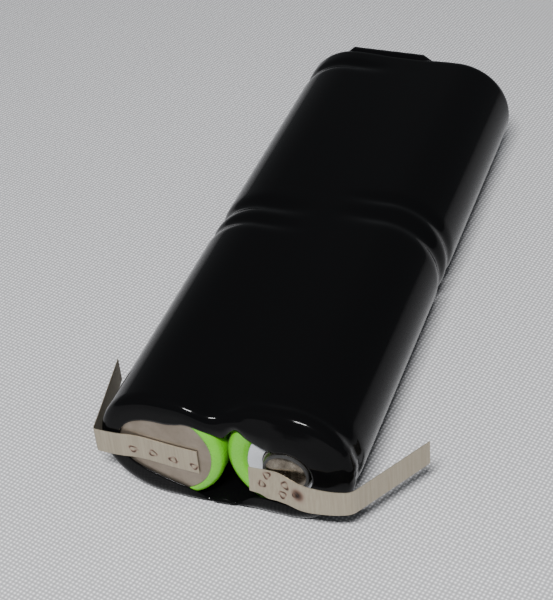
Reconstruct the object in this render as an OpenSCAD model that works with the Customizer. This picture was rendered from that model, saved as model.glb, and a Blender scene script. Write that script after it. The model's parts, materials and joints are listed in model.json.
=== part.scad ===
// Four cylindrical nickel cells in two lines of two, welded in series and
// shrink-wrapped as one flat pack with two solder tabs at the front.
// X is the width, Y the length (front is -Y), Z is up; z = 0 is the underside.

/* [Cell] */
// Diameter of one cell over its own sleeve
cell_d = 17; // [14:0.25:22]
// Length of one cell, from its bottom rim to the top of its cap
cell_l = 43; // [30:0.5:65]
// Wall of the cell's sleeve
sleeve_t = 0.12; // [0.08:0.01:0.2]
// Width of the sleeve's lip on the flat end, past the rounded corner
lip_flat = 0.2; // [0.1:0.1:1.5]
// Width of the sleeve's lip on the cap end
top_lip_w = 2.9; // [1.6:0.1:3.4]

/* [Can and seal] */
// Wall of the steel can
can_t = 0.25; // [0.15:0.01:0.4]
// Thickness of the can's bottom
can_base = 0.4; // [0.25:0.05:0.8]
// Outer radius of the can's bottom corner
corner_r = 1.1; // [0.6:0.1:1.5]
// Depth of the bead groove round the can
bead_depth = 0.8; // [0.4:0.05:1.2]
// Height of the bead groove
bead_h = 1.5; // [1.2:0.1:2.5]
// Reach of the crimped rim over the gasket
crimp_w = 1.9; // [1.2:0.1:2.6]
// Thickness of the nylon gasket
gasket_t = 0.35; // [0.25:0.05:0.6]
// Thickness of the lid plate
lid_t = 0.6; // [0.4:0.05:1]
// Diameter of the vent hole in the lid plate
vent_d = 1.6; // [1:0.1:2.4]

/* [Positive cap] */
// Diameter of the cap's raised top
cap_d = 6.9; // [5:0.1:8]
// Height of the cap above the washer
cap_rise = 1.3; // [0.8:0.1:2]
// Sheet thickness of the cap
cap_t = 0.3; // [0.2:0.05:0.4]
// Width of the cap's welded flange
cap_flange_w = 1.4; // [0.8:0.1:1.6]
// Thickness of the paper washer
washer_t = 0.2; // [0.1:0.05:0.4]
// Distance from the cell's outside to the rim of the paper washer
washer_inset = 1.1; // [0.6:0.05:1.8]

/* [Electrode roll] */
// Thickness of the positive electrode
positive_t = 0.62; // [0.4:0.02:0.8]
// Thickness of the negative electrode
negative_t = 0.36; // [0.25:0.01:0.5]
// Thickness of one separator layer
separator_t = 0.1; // [0.06:0.01:0.16]
// Radius of the open core of the roll
core_r = 1.6; // [1.2:0.1:2.5]
// Height by which the separator stands past the electrodes
separator_over = 0.4; // [0.2:0.05:0.8]
// Thickness of the insulating discs over and under the roll
disc_t = 0.25; // [0.15:0.05:0.5]
// Width of the lead from the positive electrode to the lid
lead_w = 2; // [1:0.1:2.4]
// Thickness of that lead
lead_t = 0.12; // [0.08:0.01:0.2]

/* [Pack] */
// Gap between the two cells of one line, where the link is folded
link_gap = 0.8; // [0.6:0.05:3]
// Gap between neighbouring cells side by side
side_gap = 0.06; // [0.02:0.02:1]
// Thickness of the outer film
film_t = 0.18; // [0.1:0.01:0.4]
// Distance from the rear cells to the film's rear lip
rear_room = 0.52; // [0.3:0.02:2]
// Radius of the film's openings at the front
opening_r = 5.4; // [4.4:0.1:6]
// Thickness of the rear insulating card
card_t = 0.4; // [0.2:0.05:1]
// Width of the rear card
card_w = 15.4; // [10:0.2:24]
// Offset of the rear card to the left of the pack's centre
card_shift = 3.2; // [0:0.1:5]

/* [Nickel strip] */
// Width of the nickel strip
strip_w = 4; // [3:0.25:6]
// Thickness of the nickel strip
strip_t = 0.15; // [0.1:0.01:0.25]
// Radius of a weld spot
weld_r = 0.5; // [0.3:0.05:0.7]
// Pitch of the weld spots
weld_pitch = 2.8; // [2:0.1:3.2]
// Free length of the negative tab past its bend
negative_leg = 13.3; // [6:0.1:30]
// Free length of the positive tab past its bend
positive_leg = 13; // [6:0.1:30]
// Angle of the negative leg from +X
negative_angle = 100.4; // [95:0.1:180]
// Angle of the positive leg from +X
positive_angle = 57.8; // [0:0.1:85]
// Height of the negative tab's centre below the cell axis
negative_drop = 0.3; // [-3:0.1:3]
// Height of the positive tab's centre below the cell axis
positive_drop = 1.7; // [-2:0.1:2]
// How far the positive tab bows out in front of its cap
tab_bow = 1.4; // [0.6:0.1:3]

/* [Hidden] */
$fn = 96;

// Running clearances
slip = 0.02;                 // between nested rings and sleeves
hinge_gap = 0.35;            // from a tab's bend line to its free leg
tab_clear = 0.08;            // between a tab and the film it passes over

// Cell places: name, side (-1 left, +1 right), line (-1 front, +1 rear)
PLACES = [["front_left", -1, -1], ["front_right", 1, -1],
          ["rear_left", -1, 1], ["rear_right", 1, 1]];
CELL_PARTS = ["sleeve", "can", "gasket", "lid_plate", "vent_plug", "positive_cap",
              "insulating_ring", "positive_electrode", "separator",
              "negative_electrode", "positive_lead", "insulating_discs"];

// Pack layout
cell_r = cell_d / 2;
pack_l = 2 * cell_l + link_gap;
front_y = -pack_l / 2;
rear_y = pack_l / 2;
axis_x = cell_r + side_gap / 2;
film_in = cell_r + slip;
film_r = film_in + film_t;
axis_z = film_r;
side_x = axis_x + film_r;

// Heights along one cell, from the sleeve's bottom lip up to the cap
can_z = sleeve_t;
floor_z = can_z + can_base;
shoulder_z = cell_l - cap_rise;
washer_z = shoulder_z - sleeve_t - washer_t;
crimp_z = washer_z - can_t;
lid_top = crimp_z - gasket_t;
lid_z = lid_top - lid_t;
gasket_z = lid_z - gasket_t;
bead_top = gasket_z - can_t;
bead_z = bead_top - bead_h;

// Radii in one cell
can_r = cell_r - sleeve_t;
bore_r = can_r - can_t;
crimp_r = can_r - crimp_w;
seal_r = bore_r - slip;
lid_r = seal_r - gasket_t - slip;
cap_r = cap_d / 2;
foot_r = can_r - corner_r;

// Electrode roll
roll_z = floor_z + max(disc_t + slip, corner_r - can_t - separator_over);
bead_start = bead_z - bead_depth / 4;
roll_top = bead_start - can_t - disc_t - 2 * slip;
roll_r = bore_r - 4 * slip;
roll_pitch = positive_t + negative_t + 2 * separator_t + 4 * slip;
roll_steps = 16;             // flats in one turn of the roll
roll_turns = floor((roll_r - core_r - roll_pitch) / roll_pitch * roll_steps) / roll_steps;
inner_separator_r = core_r;
positive_r = inner_separator_r + separator_t + slip;
outer_separator_r = positive_r + positive_t + slip;
negative_r = outer_separator_r + separator_t + slip;
lead_turn = 2;               // turn of the roll that the lead is welded to
lead_r = positive_r + positive_t / 2 + lead_turn * roll_pitch;

// Tabs
negative_z = axis_z - negative_drop;
positive_z = axis_z - positive_drop;
film_face = front_y - slip - film_t;
tab_out = film_face - tab_clear - strip_t / 2;
negative_hinge = [-side_x - 0.5, tab_out + 0.25];
positive_hinge = [side_x + 0.3, front_y - tab_bow / 2 + 0.1];

// Puts a cell's own Z axis along the pack's length.
// The left line has its caps to the rear and the right line to the front.
module seat(p) {
    bottom_y = p[1] < 0 ? (p[2] < 0 ? front_y : link_gap / 2)
                        : (p[2] < 0 ? -link_gap / 2 : rear_y);
    translate([p[1] * axis_x, bottom_y, axis_z]) rotate([p[1] * 90, 0, 0]) children();
}

// A flat ring from z to z + h
module ring(outer, inner, z, h) {
    translate([0, 0, z]) difference() {
        cylinder(r = outer, h = h);
        translate([0, 0, -1]) cylinder(r = inner, h = h + 2);
    }
}

// Points of one wound layer: out along its inner face and back along its outer face
function layer(r, t) = let (n = roll_steps * roll_turns) concat(
    [for (i = [0 : n]) let (a = i * 360 / roll_steps)
        (r + roll_pitch * i / roll_steps) * [cos(a), sin(a)]],
    [for (i = [n : -1 : 0]) let (a = i * 360 / roll_steps)
        (r + t + roll_pitch * i / roll_steps) * [cos(a), sin(a)]]);

// Points of a quarter round of radius r, with its foot at [x, y], between two angles
function quarter(x, y, r, from = 0, to = 90) =
    [for (i = [0 : 6]) let (a = from + (to - from) * i / 6)
        [x + r * sin(a), y + r * (1 - cos(a))]];

module wound(r, t, low, high) {
    translate([0, 0, low]) linear_extrude(high - low) polygon(layer(r, t));
}

// ---- One cell ----

module sleeve() {
    dip = bead_depth / 3;
    in_r = can_r + slip / 2;
    lip_r = foot_r - lip_flat;
    color("yellowgreen") rotate_extrude() polygon(concat(
        [[lip_r, 0]], quarter(foot_r, 0, corner_r + sleeve_t),
        [[cell_r, bead_z], [cell_r - dip, bead_z + bead_h / 2], [cell_r, bead_top],
         [cell_r, shoulder_z - sleeve_t], [cell_r - sleeve_t, shoulder_z],
         [cell_r - top_lip_w, shoulder_z], [cell_r - top_lip_w, shoulder_z - sleeve_t],
         [in_r, shoulder_z - sleeve_t], [in_r, bead_top],
         [in_r - dip, bead_z + bead_h / 2], [in_r, bead_z]],
        quarter(foot_r, can_z - slip / 2, corner_r + slip / 2, 90, 0),
        [[lip_r, can_z - slip / 2]]));
}

module can() {
    slope = bead_depth / 2;
    neck_r = can_r - bead_depth;
    color("silver") rotate_extrude() polygon(concat(
        [[0, can_z]], quarter(foot_r, can_z, corner_r),
        [[can_r, bead_start], [neck_r, bead_z + slope], [neck_r, bead_top - slope / 2],
         [can_r, bead_top], [can_r, washer_z - can_t], [can_r - can_t, washer_z],
         [crimp_r, washer_z], [crimp_r, crimp_z], [bore_r, crimp_z], [bore_r, gasket_z],
         [neck_r - can_t, gasket_z], [neck_r - can_t, bead_z + slope - can_t],
         [bore_r, bead_start - can_t]],
        quarter(foot_r, floor_z, corner_r - can_t, 90, 0), [[0, floor_z]]));
}

module gasket() {
    color("ivory") {
        ring(seal_r, lid_r + slip, gasket_z, crimp_z - gasket_z);
        ring(seal_r, crimp_r, lid_top, gasket_t);
        ring(seal_r, bore_r - bead_depth, gasket_z, gasket_t);
    }
}

module lid_plate() {
    color("silver") ring(lid_r, vent_d / 2, lid_z, lid_t);
}

module positive_cap() {
    vent_h = 0.7;
    color("gainsboro") difference() {
        rotate_extrude() polygon([
            [0, cell_l - cap_t], [cap_r - cap_t, cell_l - cap_t],
            [cap_r - cap_t, lid_top], [cap_r + cap_flange_w, lid_top],
            [cap_r + cap_flange_w, lid_top + cap_t], [cap_r, lid_top + cap_t],
            [cap_r, cell_l - cap_t], [cap_r - cap_t, cell_l], [0, cell_l]]);
        for (a = [0, 120, 240]) rotate([0, 0, a])
            translate([0, 0, lid_top + cap_t + vent_h / 2 + 0.1]) rotate([0, 90, 0])
                cylinder(d = vent_h, h = cap_r + 1, $fn = 24);
    }
}

module vent_plug() {
    color("dimgray") translate([0, 0, lid_top])
        cylinder(r = cap_r - cap_t - 3 * slip, h = cell_l - cap_t - lid_top);
}

module insulating_ring() {
    color("whitesmoke") ring(cell_r - washer_inset, cap_r + 4 * slip, washer_z, washer_t);
}

module positive_electrode() {
    color("darkslategray")
        wound(positive_r, positive_t, roll_z + separator_over, roll_top - separator_over);
}

module negative_electrode() {
    color("slategray")
        wound(negative_r, negative_t, roll_z + separator_over, roll_top - separator_over);
}

module separator() {
    color("white") {
        wound(inner_separator_r, separator_t, roll_z, roll_top);
        wound(outer_separator_r, separator_t, roll_z, roll_top);
    }
}

module positive_lead() {
    low = roll_top - separator_over;
    color("lightsteelblue") {
        translate([lead_r - lead_t / 2, -lead_w / 2, low])
            cube([lead_t, lead_w, lid_z - low]);
        translate([vent_d, -lead_w / 2, lid_z - lead_t])
            cube([lead_r - vent_d, lead_w, lead_t]);
    }
}

module insulating_discs() {
    slot = lead_t + 0.4;
    color("lightyellow") {
        translate([0, 0, floor_z]) cylinder(r = foot_r, h = disc_t);
        difference() {
            ring(roll_r, core_r, roll_top + slip, disc_t);
            translate([lead_r - slot / 2, -lead_w / 2 - 0.2, roll_top - 1])
                cube([slot, lead_w + 0.4, disc_t + 2]);
        }
    }
}

// ---- Film and card ----

// Outline of two cells side by side with flat webs between, seen along the pack
module outline(r) {
    for (s = [-1, 1]) translate([s * axis_x, 0]) circle(r = r);
    translate([-axis_x, -r]) square([2 * axis_x, 2 * r]);
}

// Extrudes an outline along the pack from y to y + l
module along(y, l) {
    translate([0, y + l, axis_z]) rotate([90, 0, 0]) linear_extrude(l) children();
}

module outer_sleeve() {
    back_y = rear_y + rear_room;
    color("black") difference() {
        along(film_face, back_y + film_t - film_face) outline(film_r);
        along(front_y - slip, back_y - front_y + slip) outline(film_in);
        along(film_face - 1, film_t + 2) {
            for (s = [-1, 1]) translate([s * axis_x, 0]) circle(r = opening_r);
            translate([-axis_x, -opening_r]) square([2 * axis_x, 2 * opening_r]);
            translate([0, -positive_drop]) square([2 * (axis_x + opening_r), strip_w + 0.6], center = true);
        }
        along(back_y - 1, film_t + 2) outline(opening_r);
    }
}

module rear_card() {
    half = card_w / 2;
    high = film_r - 0.1;
    cut = 1.4;
    color("dimgray") along(rear_y + rear_room + film_t + slip, card_t)
        translate([-card_shift, 0]) polygon([
            [-half, -high + cut], [-half + cut, -high], [half - 1.5 * cut, -high],
            [half, -high + cut], [half, high - cut], [half - 1.5 * cut, high],
            [-half + cut, high], [-half, high - cut]]);
}

// ---- Nickel strip ----

// Weld spots that join a strip to a can's bottom, count of them along X
module welds(x, y, z, count) {
    for (i = [0 : count - 1])
        translate([x + (i - (count - 1) / 2) * weld_pitch, y, z]) rotate([-90, 0, 0])
            cylinder(r = weld_r, h = sleeve_t, $fn = 24);
}

// A strip folded back on itself between two cells: cap at -Y, bottom at +Y
module folded_link() {
    fold_r = link_gap / 2;
    reach = 2 * strip_w;
    color("lightsteelblue") {
        translate([-strip_w / 2, 0, 0]) rotate([90, 0, 90]) linear_extrude(strip_w) {
            for (s = [0, 1]) mirror([s, 0])
                translate([-fold_r, -reach / 2]) square([strip_t, reach]);
            translate([0, reach / 2]) difference() {
                circle(r = fold_r);
                circle(r = fold_r - strip_t);
                translate([-fold_r - 1, -2 * fold_r]) square([2 * fold_r + 2, 2 * fold_r]);
            }
        }
        welds(0, fold_r, 0, 2);
    }
}

module left_link() {
    translate([-axis_x, 0, axis_z]) folded_link();
}

module right_link() {
    translate([axis_x, 0, axis_z]) rotate([0, 0, 180]) folded_link();
}

module rear_link() {
    over = 2.6;
    color("lightsteelblue") {
        translate([-axis_x - over, rear_y, axis_z - strip_w / 2])
            cube([2 * (axis_x + over), strip_t, strip_w]);
        translate([0, -sleeve_t, 0]) welds(axis_x, rear_y, axis_z, 2);
    }
}

// A strip standing on edge along a path of [x, y] points
module strip(path, z) {
    half = strip_t / 2;
    n = len(path);
    translate([0, 0, z - strip_w / 2]) linear_extrude(strip_w) polygon(concat(
        [for (i = [0 : n - 1]) path[i] - [0, half]],
        [for (i = [n - 1 : -1 : 0]) path[i] + [0, half]]));
}

// The leg of a tab past its bend line
module leg(hinge, angle, length, z) {
    translate([hinge[0], hinge[1], z - strip_w / 2]) rotate([0, 0, angle])
        translate([hinge_gap, -strip_t / 2, 0]) cube([length - hinge_gap, strip_t, strip_w]);
}

module negative_tab() {
    flat_y = front_y - strip_t / 2;
    inner_x = -axis_x + 5.2;
    outer_x = -axis_x - opening_r;
    color("lightsteelblue") {
        strip([[-side_x - 0.1, tab_out], [outer_x, tab_out],
               [outer_x + 1.2, flat_y], [inner_x, flat_y]], negative_z);
        welds(-axis_x + 0.5, front_y, negative_z, 4);
    }
}

module negative_tab_leg() {
    color("lightsteelblue") leg(negative_hinge, negative_angle, negative_leg, negative_z);
}

module positive_tab() {
    flat_y = front_y - strip_t / 2;
    start_x = axis_x - 4.9;
    lift_x = axis_x + 0.6;
    end_x = side_x - 0.1;
    steps = 12;
    color("lightsteelblue") strip(concat([[start_x, flat_y]],
        [for (i = [0 : steps]) let (f = i / steps)
            [lift_x + f * (end_x - lift_x),
             flat_y - tab_bow * pow(sin(f * 125), 2)]]), positive_z);
}

module positive_tab_leg() {
    color("lightsteelblue") leg(positive_hinge, positive_angle, positive_leg, positive_z);
}

for (p = PLACES) {
    seat(p) sleeve();
    seat(p) can();
    seat(p) gasket();
    seat(p) lid_plate();
    seat(p) vent_plug();
    seat(p) positive_cap();
    seat(p) insulating_ring();
    seat(p) positive_electrode();
    seat(p) separator();
    seat(p) negative_electrode();
    seat(p) positive_lead();
    seat(p) insulating_discs();
}
outer_sleeve();
rear_card();
left_link();
right_link();
rear_link();
negative_tab();
negative_tab_leg();
positive_tab();
positive_tab_leg();
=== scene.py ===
"""Looks for a shrink-wrapped pack of four round nickel cells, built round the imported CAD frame."""
import json
import math

import bmesh
import bpy
from mathutils import Matrix, Vector

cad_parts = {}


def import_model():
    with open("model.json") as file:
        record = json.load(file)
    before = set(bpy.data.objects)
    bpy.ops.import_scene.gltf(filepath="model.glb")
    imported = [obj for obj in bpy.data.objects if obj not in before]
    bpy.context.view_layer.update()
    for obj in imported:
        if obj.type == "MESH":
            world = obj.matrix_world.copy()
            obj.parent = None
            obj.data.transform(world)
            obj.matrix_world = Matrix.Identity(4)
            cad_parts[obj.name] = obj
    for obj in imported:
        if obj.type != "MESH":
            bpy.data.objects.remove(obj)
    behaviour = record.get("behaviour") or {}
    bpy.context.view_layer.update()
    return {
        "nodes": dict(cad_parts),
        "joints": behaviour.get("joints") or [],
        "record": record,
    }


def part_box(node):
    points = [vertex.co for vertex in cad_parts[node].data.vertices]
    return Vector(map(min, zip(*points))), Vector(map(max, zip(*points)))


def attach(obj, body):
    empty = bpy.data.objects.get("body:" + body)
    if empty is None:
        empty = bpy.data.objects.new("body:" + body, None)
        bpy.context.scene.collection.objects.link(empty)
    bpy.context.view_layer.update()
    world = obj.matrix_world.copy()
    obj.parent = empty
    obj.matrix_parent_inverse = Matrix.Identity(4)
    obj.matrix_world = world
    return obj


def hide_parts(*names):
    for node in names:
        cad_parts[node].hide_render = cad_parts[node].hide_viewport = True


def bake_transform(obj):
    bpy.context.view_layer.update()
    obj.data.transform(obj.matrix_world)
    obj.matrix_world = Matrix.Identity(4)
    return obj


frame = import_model()

MM = 0.001
PLACES = ("front_left", "front_right", "rear_left", "rear_right")


def size_of(node):
    """Lowest corner, highest corner and centre of a CAD node, in millimetres."""
    low, high = (Vector(c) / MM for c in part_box(node))
    return low, high, (low + high) / 2


# ---- Sizes taken from the frame, in millimetres ----

film_low, film_high, _ = size_of("outer_sleeve")
sleeve_low, sleeve_high, sleeve_mid = size_of("front_right_sleeve")
AXIS_X = sleeve_mid.x
AXIS_Z = sleeve_mid.z
CELL_R = (sleeve_high.z - sleeve_low.z) / 2
FILM_R = (film_high.z - film_low.z) / 2
FRONT_Y = size_of("front_left_sleeve")[0].y
REAR_Y = size_of("rear_right_sleeve")[1].y
CAP_Y = size_of("front_right_positive_cap")[0].y
SHOULDER_Y = sleeve_low.y
FILM_T = 0.18
STRIP_T = 0.15
STRIP_W = size_of("negative_tab")[1].z - size_of("negative_tab")[0].z
NEGATIVE_Z = size_of("negative_tab")[2].z
POSITIVE_Z = size_of("positive_tab")[2].z
CAP_LOW, CAP_HIGH, _ = size_of("front_right_positive_cap")
CELL_L = REAR_Y - size_of("rear_right_positive_cap")[0].y
CAP_RISE = SHOULDER_Y - CAP_Y
CAP_TOP_R = 3.45
TOP_LIP_W = 2.9
washer_low, washer_high, _ = size_of("front_right_insulating_ring")
WASHER_R = (washer_high.z - washer_low.z) / 2

HINGES = {j["name"]: Vector(j["pos_m"]) / MM for j in frame["joints"]}


# ---- Small helpers ----

def smooth(f):
    """Eases 0 to 1, held at both ends."""
    f = min(1.0, max(0.0, f))
    return f * f * (3 - 2 * f)


def curve(points, x):
    """Smooth value at x through a short list of (x, value) pairs."""
    if x <= points[0][0]:
        return points[0][1]
    if x >= points[-1][0]:
        return points[-1][1]
    k = max(i for i, p in enumerate(points[:-1]) if p[0] <= x)

    def slope(i):
        low, high = points[max(i - 1, 0)], points[min(i + 1, len(points) - 1)]
        return (high[1] - low[1]) / (high[0] - low[0])

    (x0, v0), (x1, v1) = points[k], points[k + 1]
    run = x1 - x0
    f = (x - x0) / run
    m0, m1 = slope(k) * run, slope(k + 1) * run
    return ((2 * f ** 3 - 3 * f ** 2 + 1) * v0 + (f ** 3 - 2 * f ** 2 + f) * m0
            + (3 * f ** 2 - 2 * f ** 3) * v1 + (f ** 3 - f ** 2) * m1)


def bell(x, centre, width):
    """A smooth bump of height 1 at centre."""
    return math.exp(-((x - centre) / width) ** 2)


def mesh_object(name, points, faces, shade_smooth=True):
    """A mesh object from points in millimetres."""
    mesh = bpy.data.meshes.new(name)
    mesh.from_pydata([Vector(p) * MM for p in points], [], faces)
    mesh.update()
    piece = bpy.data.objects.new(name, mesh)
    bpy.context.scene.collection.objects.link(piece)
    for face in mesh.polygons:
        face.use_smooth = shade_smooth
    return piece


def outward(piece):
    """Points every face of a closed piece outwards."""
    work = bmesh.new()
    work.from_mesh(piece.data)
    bmesh.ops.remove_doubles(work, verts=work.verts, dist=1e-7)
    bmesh.ops.recalc_face_normals(work, faces=work.faces)
    work.to_mesh(piece.data)
    work.free()


def grid_faces(rows, columns, wrap_columns, wrap_rows=False):
    """Quads of a grid of rows by columns, stored row by row."""
    faces = []
    for r in range(rows if wrap_rows else rows - 1):
        for c in range(columns if wrap_columns else columns - 1):
            a, b = r * columns + c, r * columns + (c + 1) % columns
            up = ((r + 1) % rows) * columns
            faces.append((a, b, up + (c + 1) % columns, up + c))
    return faces


# ---- Materials ----

def new_material(name, colour, roughness=0.5, metallic=0.0, **sockets):
    """A Principled material, and its nodes, links and shader."""
    material = bpy.data.materials.new(name)
    material.use_nodes = True
    nodes, links = material.node_tree.nodes, material.node_tree.links
    shader = nodes["Principled BSDF"]
    shader.inputs["Base Color"].default_value = (*colour, 1)
    shader.inputs["Roughness"].default_value = roughness
    shader.inputs["Metallic"].default_value = metallic
    for key, value in sockets.items():
        shader.inputs[key.replace("_", " ")].default_value = value
    return material, nodes, links, shader


def noise(nodes, links, scale, detail=4.0, roughness=0.5, stretch=(1, 1, 1)):
    """Noise in object space, with scale in cycles per millimetre."""
    where = nodes.new("ShaderNodeTexCoord")
    mapping = nodes.new("ShaderNodeMapping")
    mapping.inputs["Scale"].default_value = [scale * s / MM for s in stretch]
    texture = nodes.new("ShaderNodeTexNoise")
    texture.inputs["Scale"].default_value = 1
    texture.inputs["Detail"].default_value = detail
    texture.inputs["Roughness"].default_value = roughness
    links.new(where.outputs["Object"], mapping.inputs["Vector"])
    links.new(mapping.outputs["Vector"], texture.inputs["Vector"])
    return texture.outputs["Fac"]


def ramp(nodes, links, value, stops):
    """A colour ramp from (position, colour) stops."""
    node = nodes.new("ShaderNodeValToRGB")
    ends = node.color_ramp.elements
    while len(ends) < len(stops):
        ends.new(0.5)
    for end, (position, colour) in zip(ends, stops):
        end.position = position
        end.color = (*colour, 1) if len(colour) == 3 else colour
    links.new(value, node.inputs["Fac"])
    return node.outputs["Color"]


def spread(nodes, links, value, low, high):
    """Maps a 0 to 1 value onto low to high."""
    node = nodes.new("ShaderNodeMapRange")
    node.inputs["To Min"].default_value = low
    node.inputs["To Max"].default_value = high
    links.new(value, node.inputs["Value"])
    return node.outputs["Result"]


def mix(nodes, links, factor, first, second):
    """Mixes two colours; each is a socket or a colour."""
    node = nodes.new("ShaderNodeMix")
    node.data_type = "RGBA"
    for socket, value in (("A", first), ("B", second)):
        entry = [i for i in node.inputs if i.name == socket and i.type == "RGBA"][0]
        if isinstance(value, tuple):
            entry.default_value = (*value, 1)
        else:
            links.new(value, entry)
    links.new(factor, node.inputs["Factor"])
    return [o for o in node.outputs if o.type == "RGBA"][0]


def bump(nodes, links, shader, height, depth_mm, strength=1.0):
    """Fine relief from a 0 to 1 height."""
    node = nodes.new("ShaderNodeBump")
    node.inputs["Distance"].default_value = depth_mm * MM
    node.inputs["Strength"].default_value = strength
    links.new(height, node.inputs["Height"])
    links.new(node.outputs["Normal"], shader.inputs["Normal"])


def specks(nodes, links, per_mm, size):
    """Sparse round dust specks: 1 on a speck, 0 elsewhere."""
    where = nodes.new("ShaderNodeTexCoord")
    mapping = nodes.new("ShaderNodeMapping")
    mapping.inputs["Scale"].default_value = [per_mm / MM] * 3
    cells = nodes.new("ShaderNodeTexVoronoi")
    cells.inputs["Scale"].default_value = 1
    links.new(where.outputs["Object"], mapping.inputs["Vector"])
    links.new(mapping.outputs["Vector"], cells.inputs["Vector"])
    near = nodes.new("ShaderNodeMath")
    near.operation = "LESS_THAN"
    near.inputs[1].default_value = size
    links.new(cells.outputs["Distance"], near.inputs[0])
    return near.outputs["Value"]


def film_material():
    material, nodes, links, shader = new_material(
        "black_film", (0.002, 0.002, 0.0022), 0.09, IOR=1.45, Specular_IOR_Level=0.1)
    dust = specks(nodes, links, 0.13, 0.012)
    colour = mix(nodes, links, dust, (0.002, 0.002, 0.0022), (0.16, 0.16, 0.155))
    links.new(colour, shader.inputs["Base Color"])
    smear = noise(nodes, links, 0.12, 5)
    links.new(spread(nodes, links, smear, 0.06, 0.16), shader.inputs["Roughness"])
    bump(nodes, links, shader, noise(nodes, links, 0.35, 2), 0.02, 0.35)
    return material


def card_material():
    material, nodes, links, shader = new_material(
        "black_card", (0.003, 0.003, 0.0035), 0.4, Specular_IOR_Level=0.2)
    grain = noise(nodes, links, 6, 4)
    links.new(spread(nodes, links, grain, 0.35, 0.5), shader.inputs["Roughness"])
    bump(nodes, links, shader, grain, 0.01, 0.4)
    return material


def sleeve_material():
    material, nodes, links, shader = new_material("green_sleeve", (0.10, 0.39, 0.01), 0.25, IOR=1.5)
    cloud = noise(nodes, links, 0.4, 3)
    links.new(mix(nodes, links, cloud, (0.09, 0.36, 0.008), (0.12, 0.43, 0.014)),
              shader.inputs["Base Color"])
    links.new(spread(nodes, links, noise(nodes, links, 1.5, 3), 0.2, 0.36),
              shader.inputs["Roughness"])
    bump(nodes, links, shader, noise(nodes, links, 1.2, 3), 0.02, 0.3)
    return material


def can_material():
    material, nodes, links, shader = new_material("can_steel", (0.6, 0.55, 0.5), 0.42, 0.85)
    blotch = noise(nodes, links, 0.45, 6, 0.6)
    links.new(ramp(nodes, links, blotch, [(0.3, (0.22, 0.18, 0.14)), (0.7, (0.30, 0.255, 0.205))]),
              shader.inputs["Base Color"])
    links.new(spread(nodes, links, noise(nodes, links, 2, 5), 0.36, 0.55),
              shader.inputs["Roughness"])
    bump(nodes, links, shader, noise(nodes, links, 5, 4), 0.008, 0.5)
    return material


def cap_material():
    """Plated steel, mottled with weld stains; its dark base colours are also a painted dark reflection of
    dark surroundings.
    """
    # The dark base colour and ramp stops are partly weld stain and partly a painted dark reflection,
    # darker than the lit floor would make the metal look.
    material, nodes, links, shader = new_material("cap_nickel", (0.15, 0.13, 0.1), 0.16, 1.0)
    stain_and_dark_reflection = noise(nodes, links, 0.5, 5, 0.65)
    links.new(ramp(nodes, links, stain_and_dark_reflection, [(0.35, (0.07, 0.055, 0.04)), (0.6, (0.24, 0.21, 0.17)),
                                         (0.75, (0.42, 0.39, 0.33))]),
              shader.inputs["Base Color"])
    links.new(spread(nodes, links, noise(nodes, links, 1.4, 5), 0.18, 0.36),
              shader.inputs["Roughness"])
    bump(nodes, links, shader, noise(nodes, links, 1.0, 3), 0.05, 0.5)
    return material


def strip_material():
    """Rolled nickel with cross streaks; the mesh attribute "weld_tint" tints it at the welds."""
    material, nodes, links, shader = new_material("nickel_strip", (0.66, 0.62, 0.54), 0.4, 0.8)
    streaks = noise(nodes, links, 1.0, 3, 0.6, (3.2, 3.2, 0.12))
    base = ramp(nodes, links, streaks, [(0.25, (0.33, 0.285, 0.21)), (0.75, (0.43, 0.38, 0.29))])
    weld = nodes.new("ShaderNodeAttribute")
    weld.attribute_name = "weld_tint"
    tint = ramp(nodes, links, weld.outputs["Fac"],
                [(0.0, (0.38, 0.33, 0.25)), (0.25, (0.31, 0.23, 0.18)), (0.6, (0.15, 0.095, 0.07)),
                 (1.0, (0.02, 0.013, 0.012))])
    masked = nodes.new("ShaderNodeMath")
    masked.operation = "MULTIPLY"
    masked.use_clamp = True
    masked.inputs[1].default_value = 2.5
    links.new(weld.outputs["Fac"], masked.inputs[0])
    links.new(mix(nodes, links, masked.outputs["Value"], base, tint), shader.inputs["Base Color"])
    links.new(spread(nodes, links, noise(nodes, links, 1.5, 4), 0.32, 0.5),
              shader.inputs["Roughness"])
    bump(nodes, links, shader, streaks, 0.012, 0.5)
    return material


def washer_material():
    material, nodes, links, shader = new_material("washer_paper", (0.74, 0.74, 0.79), 0.8)
    fibre = noise(nodes, links, 3, 6, 0.65)
    links.new(ramp(nodes, links, fibre, [(0.3, (0.35, 0.36, 0.39)), (0.7, (0.44, 0.45, 0.48))]),
              shader.inputs["Base Color"])
    bump(nodes, links, shader, fibre, 0.02, 0.5)
    return material


def plain_material(name, dark, light, roughness, scale, metallic=0.0):
    """A mottled material for the pieces inside the cells."""
    material, nodes, links, shader = new_material(name, light, roughness, metallic)
    grain = noise(nodes, links, scale, 5, 0.6)
    links.new(ramp(nodes, links, grain, [(0.3, dark), (0.7, light)]), shader.inputs["Base Color"])
    bump(nodes, links, shader, grain, 0.02, 0.5)
    return material


MATERIALS = {
    "black_film": film_material(),
    "black_card": card_material(),
    "green_sleeve": sleeve_material(),
    "can_steel": can_material(),
    "cap_nickel": cap_material(),
    "nickel_strip": strip_material(),
    "washer_paper": washer_material(),
    "nylon": plain_material("nylon", (0.70, 0.68, 0.60), (0.80, 0.78, 0.71), 0.45, 1.2),
    "vent_rubber": plain_material("vent_rubber", (0.015, 0.015, 0.015), (0.03, 0.03, 0.03), 0.7, 3),
    "positive_mass": plain_material("positive_mass", (0.02, 0.03, 0.025), (0.06, 0.07, 0.06), 0.8, 4),
    "negative_mass": plain_material("negative_mass", (0.08, 0.08, 0.09), (0.17, 0.17, 0.18), 0.6, 4, 0.5),
    "separator_felt": plain_material("separator_felt", (0.68, 0.68, 0.66), (0.86, 0.86, 0.84), 0.9, 8),
}


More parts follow.
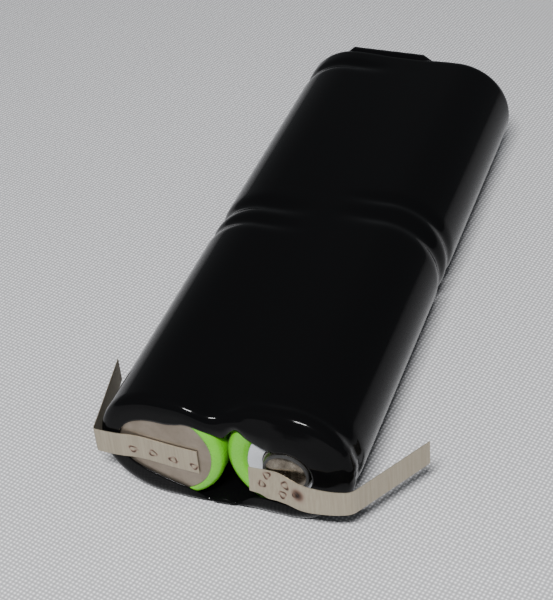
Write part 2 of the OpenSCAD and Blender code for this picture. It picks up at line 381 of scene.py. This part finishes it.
def paint(piece, slot):
    """Gives a new piece its material."""
    piece.data.materials.append(MATERIALS[slot])


def dress(piece, slot):
    """Paints a new piece and lets it ride on the pack."""
    paint(piece, slot)
    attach(piece, "pack")


def dress_cad():
    """Procedural materials on every CAD node that stays."""
    slots = {s["node"]: s["material_slot"] for s in frame["record"]["subparts"]}
    for name, node in frame["nodes"].items():
        for entry in node.material_slots:
            entry.material = MATERIALS[slots[name]]


# ---- Outer film ----

# Groove centres along each side, from the front cell end: (place, depth, width)
GROOVES = {
    -1: ((38.8, 0.40, 1.15), (42.9, 0.54, 1.4), (82.6, 0.40, 1.15)),
    1: ((4.2, 0.36, 1.0), (43.9, 0.52, 1.4), (48.0, 0.38, 1.15)),
}

# Radius of the film's opening round each front cell, against the angle from +X in degrees
LEFT_OPENING = ((90, 5.08), (102, 5.16), (120, 5.42), (134, 5.66), (150, 5.8), (180, 5.7),
                (203, 5.49), (215, 5.2), (227, 4.91), (242, 4.69), (258, 4.74), (270, 5.0))
RIGHT_OPENING = ((-90, 5.5), (-75, 5.2), (-60, 4.6), (-45, 3.9), (-32, 3.65), (0, 3.6), (45, 3.6),
                 (90, 3.65))
# Top and bottom edge of the film between the two axes: x, height above the cell axis, and distance
# behind the front
TOP_EDGE = ((-8.6, 5.07, -0.2), (-7.2, 5.05, -0.2), (-6.0, 5.25, -0.2), (-4.8, 5.57, -0.2),
            (-3.8, 5.5, -0.16), (-2.7, 5.15, -0.1), (-1.8, 4.7, 0.1), (-1.1, 4.25, 0.35),
            (-0.5, 3.75, 0.6), (0.1, 3.5, 0.8), (0.7, 4.1, 0.9), (1.3, 4.85, 0.98), (2.1, 5.1, 1.02),
            (3.2, 4.1, 1.0), (4.6, 3.35, 0.92), (5.75, 3.05, 0.72), (7.0, 3.25, 0.32),
            (8.6, 3.65, 0.22))
BOTTOM_EDGE = ((-8.6, -5.0, -0.2), (-6.7, -5.57, -0.2), (-4.8, -6.3, -0.1), (-2.5, -7.5, 0.2),
               (0.0, -7.9, 0.6), (2.0, -7.0, 0.4), (3.5, -5.8, 0.25), (5.0, -5.3, 0.1),
               (6.8, -5.3, 0.05), (8.6, -5.5, 0.05))
# Shapes of the film's end: share of the way from its edge (0) to the body (1), and distance behind
# the front. One is a tight round corner, the other a long slope from the cap's rim.
TIGHT_END = ((0.0, -0.2), (0.3, -0.2), (0.5, -0.18), (0.65, -0.1), (0.77, 0.06), (0.88, 0.32),
             (0.96, 0.7), (1.0, 1.25))
SLOPED_END = ((0.0, 0.2), (0.2, 0.25), (0.4, 0.38), (0.55, 0.66), (0.73, 1.06), (0.9, 1.5),
              (0.985, 2.1), (1.0, 2.9))
TIGHT_DEPTH, SLOPED_DEPTH = TIGHT_END[-1][1], SLOPED_END[-1][1]
VALLEY_LENGTH = 7                          # how far back the dip between the front cells runs
VALLEY_TOP, VALLEY_BOTTOM = 1.5, 1.2       # how far the film sinks into the V between the front cells
WEB_SLACK = 0.22                           # how far the flat film sags between the cells
# Small pleats at the front right corner: angle, height, width in degrees
PLEATS = ((24, 0.07, 3.5), (8, 0.09, 3.0), (-6, -0.07, 4.0), (-20, 0.06, 3.5))
PLEAT_LENGTH, PLEAT_FADE = 7, 4            # how far back the pleats run, and fade
ARC_STEPS, WEB_STEPS = 90, 72
REAR_ROOM = 0.52 + FILM_T                  # from the rear cells to the film's rear end
BODY_ROWS, LIP_ROWS = 220, 26


def outline():
    """The film's outline seen along the pack: (side, angle, x) round the loop.
    The flat sides have an x, the round ones an angle."""
    loop = []
    for i in range(WEB_STEPS):
        x = -AXIS_X + 2 * AXIS_X * i / WEB_STEPS
        loop.append(("top", None, x))
    for i in range(ARC_STEPS):
        loop.append(("right", 90 - 180 * i / ARC_STEPS, None))
    for i in range(WEB_STEPS):
        x = AXIS_X - 2 * AXIS_X * i / WEB_STEPS
        loop.append(("bottom", None, x))
    for i in range(ARC_STEPS):
        loop.append(("left", 270 - 180 * i / ARC_STEPS, None))
    return loop


def groove(side, y):
    """Depth of the shrunk grooves on one side at a place along the pack."""
    return sum(d * bell(y - FRONT_Y, c, w) for c, d, w in GROOVES[side])


def body_point(kind, angle, x, y):
    """A point of the film's outer skin at y, before its lips."""
    if kind in ("left", "right"):
        side = -1 if kind == "left" else 1
        a = math.radians(angle)
        r = FILM_R - groove(side, y)
        if side > 0 and y < FRONT_Y + PLEAT_LENGTH:
            fade = smooth((FRONT_Y + PLEAT_LENGTH - y) / PLEAT_FADE)
            r += fade * sum(h * bell(angle, c, w) for c, h, w in PLEATS)
        return Vector((side * AXIS_X + r * math.cos(a), y, AXIS_Z + r * math.sin(a)))
    up = 1 if kind == "top" else -1
    share = 0.5 + 0.5 * math.sin(math.pi / 2 * max(-1, min(1, x / (AXIS_X * 0.55))))
    dip = ((1 - share) * groove(-1, y) + share * groove(1, y)) * smooth(abs(x) / AXIS_X)
    depth = VALLEY_TOP if up > 0 else VALLEY_BOTTOM
    fall = depth * (1 - smooth((y - FRONT_Y - 0.5) / VALLEY_LENGTH)) * bell(x, -0.5, 2.9)
    slack = WEB_SLACK * (1 - (x / AXIS_X) ** 2) ** 2
    return Vector((x, y, AXIS_Z + up * (FILM_R - dip - slack - fall)))


def edge_front(kind, angle, x):
    """The film's front edge, and how far its end follows the sloped shape."""
    if kind in ("left", "right"):
        side = -1 if kind == "left" else 1
        r = curve(LEFT_OPENING if side < 0 else RIGHT_OPENING, angle)
        a = math.radians(angle)
        low = smooth((-35 - angle) / 40)
        behind = -0.2 if side < 0 else 0.22 - 0.17 * low
        edge = Vector((side * (AXIS_X + side * r * math.cos(a)), FRONT_Y + behind,
                       AXIS_Z + r * math.sin(a)))
        return edge, 0.0 if side < 0 else 1 - 0.7 * low
    rows = TOP_EDGE if kind == "top" else BOTTOM_EDGE
    z = curve([(p[0], p[1]) for p in rows], x)
    behind = curve([(p[0], p[2]) for p in rows], x)
    slope = smooth((x + 4.5) / 9) * (1 if kind == "top" else 0.3)
    return Vector((x, FRONT_Y + behind, AXIS_Z + z)), slope


def edge_rear(kind, angle, x):
    """The film's rear edge: an even lip all round."""
    y = REAR_Y + REAR_ROOM
    if kind in ("left", "right"):
        a = math.radians(angle)
        side = -1 if kind == "left" else 1
        r = 5.7 + 0.25 * math.sin(3 * a + side)
        return Vector((side * AXIS_X + r * math.cos(a), y, AXIS_Z + r * math.sin(a)))
    up = 1 if kind == "top" else -1
    return Vector((x, y, AXIS_Z + up * (5.8 + 0.2 * math.cos(x))))


def path_point(shape, f):
    """Smooth point at share f along a short list of pairs."""
    place = f * (len(shape) - 1)
    return [curve([(i, p[k]) for i, p in enumerate(shape)], place) for k in (0, 1)]


def lip_end(slope):
    """Where the front lip becomes the film's body."""
    return FRONT_Y + TIGHT_DEPTH + (SLOPED_DEPTH - TIGHT_DEPTH) * slope


def lip(kind, angle, x, edge, slope, rear=False):
    """Points from the film's edge to its body."""
    points = []
    for i in range(LIP_ROWS):
        tight, sloped = (path_point(s, i / LIP_ROWS) for s in (TIGHT_END, SLOPED_END))
        share, behind = (t + (s - t) * slope for t, s in zip(tight, sloped))
        body_y = REAR_Y + REAR_ROOM - TIGHT_DEPTH - 0.2 if rear else lip_end(slope)
        body = body_point(kind, angle, x, body_y)
        p = edge.lerp(body, share)
        if rear:
            p.y = REAR_Y + REAR_ROOM - (behind + 0.2)
        else:
            start = FRONT_Y + TIGHT_END[0][1] + (SLOPED_END[0][1] - TIGHT_END[0][1]) * slope
            p.y = FRONT_Y + behind + (edge.y - start) * (1 - share) ** 1.5
        points.append(p)
    return points


def outer_film():
    """The shrunk film as one skin: lips, shoulders and grooves over the four cells."""
    loop = outline()
    columns = []
    for kind, angle, x in loop:
        edge, slope = edge_front(kind, angle, x)
        column = lip(kind, angle, x, edge, slope)
        first, last = lip_end(slope), REAR_Y + REAR_ROOM - TIGHT_DEPTH - 0.2
        for i in range(BODY_ROWS):
            y = first + (last - first) * i / (BODY_ROWS - 1)
            column.append(body_point(kind, angle, x, y))
        back = lip(kind, angle, x, edge_rear(kind, angle, x), 0.0, rear=True)
        column += reversed(back)
        columns.append(column)
    rows = len(columns[0])
    points = [columns[c][r] for r in range(rows) for c in range(len(columns))]
    film = mesh_object("shrink_film", points, grid_faces(rows, len(columns), True))
    outward(film)
    middle = film.data.polygons[len(film.data.polygons) // 2]
    if middle.normal.dot(middle.center - Vector((0, 0, AXIS_Z * MM))) < 0:
        film.data.flip_normals()
    wall = film.modifiers.new("wall", "SOLIDIFY")
    wall.thickness = FILM_T * MM
    wall.offset = -1
    dress(film, "black_film")
    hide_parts("outer_sleeve")


# ---- Cells ----

def cell_frame(place):
    """(axis x, bottom y, direction) of a cell: its own +Z runs from the flat end to the cap."""
    low, high, mid = size_of(place + "_sleeve")
    cap = size_of(place + "_positive_cap")
    if cap[2].y > mid.y:
        return mid.x, low.y, 1
    return mid.x, high.y, -1


def lathe(name, place, profile, steps=128, ripple=None):
    """A turned piece on a cell's axis from (radius, height) points in millimetres."""
    ax, bottom, way = cell_frame(place)
    points = []
    for r, h in profile:
        for i in range(steps):
            a = 2 * math.pi * i / steps
            dr, dh = ripple(r, h, a) if ripple else (0, 0)
            points.append((ax + (r + dr) * math.cos(a), bottom + way * (h + dh),
                           AXIS_Z + (r + dr) * math.sin(a)))
    piece = mesh_object(name, points, grid_faces(len(profile), steps, True, wrap_rows=True))
    outward(piece)
    return piece


def rounded(points, radius, steps):
    """A closed profile with its corners rounded."""
    made = []
    n = len(points)
    for i, p in enumerate(points):
        a, b, c = Vector(points[i - 1]), Vector(p), Vector(points[(i + 1) % n])
        cut = min(radius, (a - b).length * 0.45, (c - b).length * 0.45)
        start, end = b + (a - b).normalized() * cut, b + (c - b).normalized() * cut
        for k in range(steps + 1):
            f = k / steps
            made.append(tuple(start * (1 - f) ** 2 + b * 2 * f * (1 - f) + end * f * f))
    return made


def cell_sleeve(place):
    """The cell's own shrink sleeve, with uneven lips; it follows the film's grooves."""
    t, corner = 0.12, 1.22
    top = CELL_L - CAP_RISE
    ax, bottom, way = cell_frame(place)
    side = 1 if ax > 0 else -1

    def wall(h):
        """Radius of the sleeve under the film's grooves."""
        return CELL_R - groove(side, bottom + way * h)

    foot = CELL_R - corner
    arc = [math.radians(a) for a in range(0, 91, 10)]
    rim = 1.1
    heights = [corner + (top - rim - corner) * i / 120 for i in range(121)]
    outer = [(foot - 0.2, 0.0)]
    outer += [(foot + corner * math.sin(a), corner * (1 - math.cos(a))) for a in arc]
    outer += [(wall(h), h) for h in heights]
    r_top = wall(top - rim)
    outer += [(r_top - rim * (1 - math.cos(a)), top - rim * (1 - math.sin(a))) for a in arc]
    outer.append((CELL_R - TOP_LIP_W, top))
    inner = [(CELL_R - TOP_LIP_W, top - t), (r_top - rim, top - t), (r_top - t, top - rim)]
    inner += [(wall(h) - t, h) for h in reversed(heights)]
    inner += [(foot + (corner - t) * math.sin(a), t + (corner - t) * (1 - math.cos(a)))
              for a in reversed(arc)]
    inner.append((foot - 0.2, t))
    profile = outer + inner
    phase = PLACES.index(place) * 1.7

    def ripple(r, h, a):
        lip = smooth((foot - r) / 1.2) if h > top / 2 else smooth((foot + 0.3 - r) / 0.4) * 0.6
        wave = 0.10 * math.sin(3 * a + phase) + 0.05 * math.sin(7 * a + 2 * phase)
        return wave * lip, 0

    piece = lathe(place + "_shrunk_sleeve", place, profile, ripple=ripple)
    dress(piece, "green_sleeve")
    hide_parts(place + "_sleeve")


def cell_cap(place):
    """The pressed cap: a slightly domed crown with a soft shoulder, a wall and a flange."""
    flange_z = CELL_L - (CAP_HIGH.y - CAP_LOW.y)
    r, t, wall_h, flange_w = CAP_TOP_R, 0.3, 1.3, 1.4
    flat = flange_z + t
    crown = ((0.001, 0.0), (1.3, 0.015), (2.1, 0.06), (2.5, 0.17), (2.85, 0.37), (3.15, 0.68),
             (3.35, 0.98), (r, wall_h))
    radii = [0.001 + (r - 0.001) * math.sin(math.pi / 2 * i / 24) for i in range(25)]
    profile = [(x, CELL_L - curve(crown, x)) for x in radii]
    profile += [(r, flat + 0.1), (r + 0.1, flat), (r + flange_w, flat)]
    profile += [(r + flange_w, flange_z), (r - t, flange_z)]
    profile += [(r - t, CELL_L - wall_h), (2.2, CELL_L - 0.4), (0.001, CELL_L - t)]
    piece = lathe(place + "_pressed_cap", place, profile, 96)
    dress(piece, "cap_nickel")
    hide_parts(place + "_positive_cap")


def cell_washer(place):
    """The flat paper washer, with softened edges."""
    low, high, _ = size_of(place + "_insulating_ring")
    ax, bottom, way = cell_frame(place)
    h0 = min(abs(low.y - bottom), abs(high.y - bottom))
    t = high.y - low.y
    inner_r = CAP_TOP_R + 0.1
    corners = [(inner_r, h0), (WASHER_R, h0), (WASHER_R, h0 + t), (inner_r, h0 + t)]
    profile = rounded(corners, 0.07, 3)
    piece = lathe(place + "_washer", place, profile, 96)
    dress(piece, "washer_paper")
    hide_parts(place + "_insulating_ring")


# ---- Nickel tabs ----

STRIP_STEP, STRIP_COLUMNS = 0.08, 50       # mesh step along a strip, and faces across it
WELD_RIM, WELD_PIT = 0.07, 0.1             # height of a weld's rim, depth of its middle
EDGE_BREAK = 0.03                          # how far a strip's face falls off at its edges
CREASE = math.radians(50)                  # sharper edges than this are shaded flat


def weld_marks(s, w, welds):
    """Relief and tint left by the weld spots at length s and height w on a strip."""
    rise, hot = 0.0, 0.0
    for n, (ws, wz, size) in enumerate(welds):
        around = math.atan2(w - wz, s - ws)
        d = math.hypot(s - ws, w - wz) / (size * (1 + 0.15 * math.sin(3 * around + 2 * n)))
        uneven = 0.55 + 0.45 * math.sin(2 * around + 1.7 * n)
        rise += WELD_RIM * bell(d, 0.7, 0.22) - WELD_PIT * bell(d, 0, 0.42)
        hot = max(hot, (0.25 + 0.7 * uneven) * bell(d, 0.72, 0.24), 0.16 * bell(d, 0, 0.4))
        tail = math.hypot((s - ws + 0.85 * size) / 0.3, (w - wz + 0.1) / 0.16)
        hot = max(hot, 0.5 * bell(tail, 0, 0.8) * (n % 2))
    return rise, hot


def strip_faces(rows, columns):
    """Front, back and edge faces of a strip: two grids of rows by columns, the front one first."""
    n = rows * columns
    faces = grid_faces(rows, columns, False)
    faces += [tuple(n + v for v in reversed(f)) for f in faces]
    for r in range(rows - 1):
        for c in (0, columns - 1):
            a, b = r * columns + c, (r + 1) * columns + c
            faces.append((a, b, n + b, n + a) if c == 0 else (b, a, n + a, n + b))
    for c in range(columns - 1):
        for r in (0, rows - 1):
            a, b = r * columns + c, r * columns + c + 1
            faces.append((b, a, n + a, n + b) if r == 0 else (a, b, n + b, n + a))
    return faces


def strip_piece(name, path, centre, lean, welds, scorch=None):
    """A nickel strip standing on edge along a path of (x, y) points.
    centre(s) is the height of its middle at the path length s, lean(s) how far its lower edge
    stands out further than its upper one. Welds are (s, height, radius) spots, and the scorch is
    (s, height, half width, half height)."""
    lengths = [0.0]
    for p, q in zip(path, path[1:]):
        lengths.append(lengths[-1] + math.dist(p, q))
    count = int(lengths[-1] / STRIP_STEP) + 1
    samples = []
    k = 0
    for i in range(count + 1):
        s = lengths[-1] * i / count
        while k < len(path) - 2 and lengths[k + 1] < s:
            k += 1
        f = (s - lengths[k]) / (lengths[k + 1] - lengths[k])
        p = Vector(path[k]).lerp(Vector(path[k + 1]), f)
        samples.append((s, p))
    front, back, tint = [], [], []
    turned = path[-1][0] < path[0][0]
    for i, (s, p) in enumerate(samples):
        a, b = samples[max(i - 1, 0)][1], samples[min(i + 1, count)][1]
        along = (b - a).normalized()
        out = Vector((along.y, -along.x))
        if turned:
            out = -out
        for j in range(STRIP_COLUMNS + 1):
            w = (j / STRIP_COLUMNS - 0.5) * STRIP_W
            z = centre(s) + w
            rise, hot = weld_marks(s, w, welds)
            if scorch:
                d = math.hypot((s - scorch[0]) / scorch[2], (w - scorch[1]) / scorch[3])
                hot = max(hot, bell(d, 0, 1.0))
            edge = EDGE_BREAK * (smooth(abs(w) / (STRIP_W / 2) * 8 - 7))
            tilt = lean(s) * (1 - j / STRIP_COLUMNS)
            q = p + out * (STRIP_T / 2 + rise - edge + tilt)
            front.append((q.x, q.y, z))
            q = p - out * (STRIP_T / 2 - edge - tilt)
            back.append((q.x, q.y, z))
            tint.append(hot)
    faces = strip_faces(count + 1, STRIP_COLUMNS + 1)
    piece = mesh_object(name, front + back, faces)
    attribute = piece.data.attributes.new("weld_tint", "FLOAT", "POINT")
    attribute.data.foreach_set("value", tint + [0.3 * h for h in tint])
    work = bmesh.new()
    work.from_mesh(piece.data)
    bmesh.ops.recalc_face_normals(work, faces=work.faces)
    for line in work.edges:
        line.smooth = len(line.link_faces) == 2 and line.calc_face_angle() < CREASE
    work.to_mesh(piece.data)
    work.free()
    return piece


def bend_path(before, corner, after, radius, steps=12):
    """A path with a rounded bend at corner, from the points before to the points after."""
    a, b = Vector(before[-1]), Vector(after[0])
    c = Vector(corner)
    start, end = c + (a - c).normalized() * radius, c + (b - c).normalized() * radius
    arc = [tuple(start * (1 - f) ** 2 + c * 2 * f * (1 - f) + end * f * f)
           for f in (i / steps for i in range(steps + 1))]
    return list(before) + arc + list(after)


def leg_end(hinge, node):
    """The far end of a tab's leg, from its CAD node's box."""
    low, high, _ = size_of(node)
    x = low.x if abs(low.x - hinge.x) > abs(high.x - hinge.x) else high.x
    return (x, high.y)


def negative_tab():
    """The strip on the left can's bottom, bent back along the pack's side."""
    hinge = HINGES["negative_tab_bend"]
    high = size_of("negative_tab")[1]
    flat_y = FRONT_Y - STRIP_T / 2
    stand_off = ((-17.2, 0.36), (-16.0, 0.46), (-14.6, 0.46), (-13.6, 0.36), (-12.4, 0.14),
                 (-11.0, 0.02), (-10.0, 0.0), (high.x, 0.0))
    count = 60
    before = []
    for i in range(count + 1):
        x = high.x + (-17.0 - high.x) * i / count
        before.append((x, flat_y - curve(stand_off, x)))
    tip = leg_end(hinge, "negative_tab_leg")
    path = bend_path(before, (hinge.x - 0.02, before[-1][1] + 0.04), [tip], 0.45)
    welds = [(0.6, -0.8, 0.62), (3.5, -0.55, 0.66), (6.3, -0.4, 0.66), (9.05, -0.45, 0.66)]
    rise = ((0, -0.62), (3, -0.45), (6, -0.15), (9, 0.15), (11.5, 0.25), (14.3, 0.1), (17, 0.0))
    piece = strip_piece("negative_solder_tab", path, lambda s: NEGATIVE_Z + curve(rise, s),
                        lambda s: 0, welds)
    paint(piece, "nickel_strip")
    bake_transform(piece)
    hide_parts("negative_tab", "negative_tab_leg")


def positive_tab():
    """The strip on the right cap, bowed forward and bent back at its end."""
    hinge = HINGES["positive_tab_bend"]
    low = size_of("positive_tab")[0]
    flat_y = CAP_Y - STRIP_T / 2
    bow = ((low.x, 0.0), (6.2, 0.02), (7.8, 0.22), (9.3, 0.7), (11.2, 1.25), (13.2, 1.4),
           (15.4, 1.3), (17.0, 0.95))
    count = 60
    before = []
    for i in range(count + 1):
        x = low.x + (16.6 - low.x) * i / count
        before.append((x, flat_y - curve(bow, x)))
    tip = leg_end(hinge, "positive_tab_leg")
    path = bend_path(before, (hinge.x + 0.05, hinge.y - 0.25), [tip], 0.8)
    welds = [(2.6, 1.3, 0.62), (1.9, -0.2, 0.62), (5.4, 0.8, 0.66), (5.2, -0.75, 0.62),
             (7.0, 0.2, 0.6)]
    swing = ((0, 0.3), (1.5, 0.55), (3.0, 1.1), (4.5, 1.0), (6.0, 0.7), (8.5, 0.55), (11.5, 0.2),
             (14, 0.0), (16, 0.0))
    piece = strip_piece("positive_solder_tab", path,
                        lambda s: POSITIVE_Z + 0.25 * bell(s, 4.2, 2.2),
                        lambda s: curve(swing, s), welds, scorch=(7.3, 0.25, 0.8, 0.85))
    paint(piece, "nickel_strip")
    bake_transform(piece)
    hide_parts("positive_tab", "positive_tab_leg")


# ---- Camera, floor and lights ----

def camera():
    """At the photograph's viewing angle; places in metres, with the front cell ends at FRONT_Y."""
    data = bpy.data.cameras.new("camera")
    data.sensor_width = 36
    data.lens = 92.24
    view = bpy.data.objects.new("camera", data)
    right = Vector((0.93919, 0.33561, -0.07271))
    down = Vector((0.16330, -0.62275, -0.76519))
    ahead = Vector((-0.30208, 0.70678, -0.63969))
    turn = Matrix((right, -down, -ahead)).transposed()
    place = Vector((62.457, -123.452 + FRONT_Y, 149.593)) * MM
    view.matrix_world = Matrix.Translation(place) @ turn.to_4x4()
    data.clip_start, data.clip_end = 0.01, 10
    bpy.context.scene.collection.objects.link(view)
    bpy.context.scene.camera = view
    return view


def area_light(name, place, target, width, height, energy):
    """A rectangular light aimed at target; sizes in metres."""
    data = bpy.data.lights.new(name, "AREA")
    data.shape = "RECTANGLE"
    data.size, data.size_y, data.energy = width, height, energy
    light = bpy.data.objects.new(name, data)
    light.location = place
    light.rotation_mode = "QUATERNION"
    light.rotation_quaternion = (Vector(target) - Vector(place)).to_track_quat("-Z", "Y")
    bpy.context.scene.collection.objects.link(light)
    return light


def floor():
    """A pale floor with a fine woven pattern."""
    half, pitch = 1.5, 0.55 * MM
    mesh = bpy.data.meshes.new("floor")
    mesh.from_pydata([(-half, -half, 0), (half, -half, 0), (half, half, 0), (-half, half, 0)],
                     [], [(0, 1, 2, 3)])
    ground = bpy.data.objects.new("floor", mesh)
    bpy.context.scene.collection.objects.link(ground)
    material, nodes, links, shader = new_material("pale_floor", (0.43, 0.43, 0.44), 0.75)
    where = nodes.new("ShaderNodeTexCoord")
    mapping = nodes.new("ShaderNodeMapping")
    mapping.inputs["Scale"].default_value = [1 / pitch] * 3
    mapping.inputs["Rotation"].default_value = (0, 0, math.radians(12))
    cells = nodes.new("ShaderNodeTexVoronoi")
    cells.inputs["Scale"].default_value = 1
    cells.inputs["Randomness"].default_value = 0.12
    links.new(where.outputs["Object"], mapping.inputs["Vector"])
    links.new(mapping.outputs["Vector"], cells.inputs["Vector"])
    weave = ramp(nodes, links, cells.outputs["Distance"],
                 [(0.12, (0.80, 0.80, 0.82)), (0.3, (0.42, 0.42, 0.43)), (0.6, (0.28, 0.28, 0.29))])
    links.new(weave, shader.inputs["Base Color"])
    mesh.materials.append(material)


def world():
    """Weak even light from all round."""
    scene_world = bpy.data.worlds.new("studio")
    scene_world.use_nodes = True
    background = scene_world.node_tree.nodes["Background"]
    background.inputs["Color"].default_value = (0.9, 0.95, 1.0, 1)
    background.inputs["Strength"].default_value = 0.2
    bpy.context.scene.world = scene_world


camera()
floor()
world()
area_light("key", (0.07, -0.33, 0.46), (0, 0, 0), 0.17, 0.045, 6.8)

dress_cad()
outer_film()
for cell in PLACES:
    cell_sleeve(cell)
    cell_cap(cell)
    cell_washer(cell)
negative_tab()
positive_tab()
